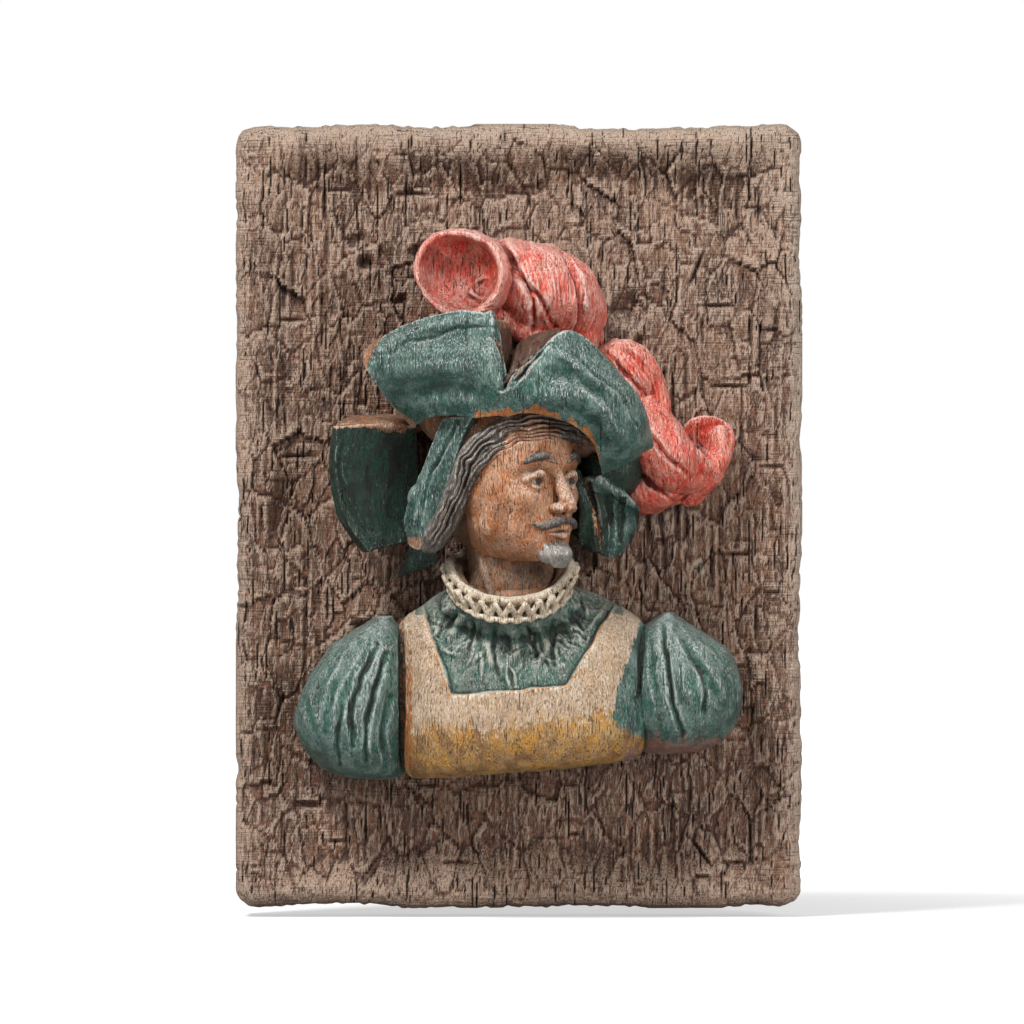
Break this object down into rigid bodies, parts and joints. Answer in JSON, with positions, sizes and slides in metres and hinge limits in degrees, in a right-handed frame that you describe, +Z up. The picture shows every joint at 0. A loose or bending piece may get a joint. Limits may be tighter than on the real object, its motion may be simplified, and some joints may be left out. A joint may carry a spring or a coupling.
{
  "type": "carved wooden wall bust",
  "caption": "Wall plaque of hewn and painted wood: the bust of a man in plumed hat, ruff and puffed sleeves, carved in high relief on a rimmed board.",
  "frame": {"origin": "middle of the flat back, on the wall's plane", "axes": "+Y out of the back into the wall, +Z up, +X to the viewer's right"},
  "size_m": [0.3195, 0.1303, 0.4416],
  "materials": {
    "weathered_wood": "rough hewn and weathered, with worn matt paint on the figure"
  },
  "bodies": {
    "root": {"carved_wall_bust": "weathered_wood"}
  },
  "joints": []
}
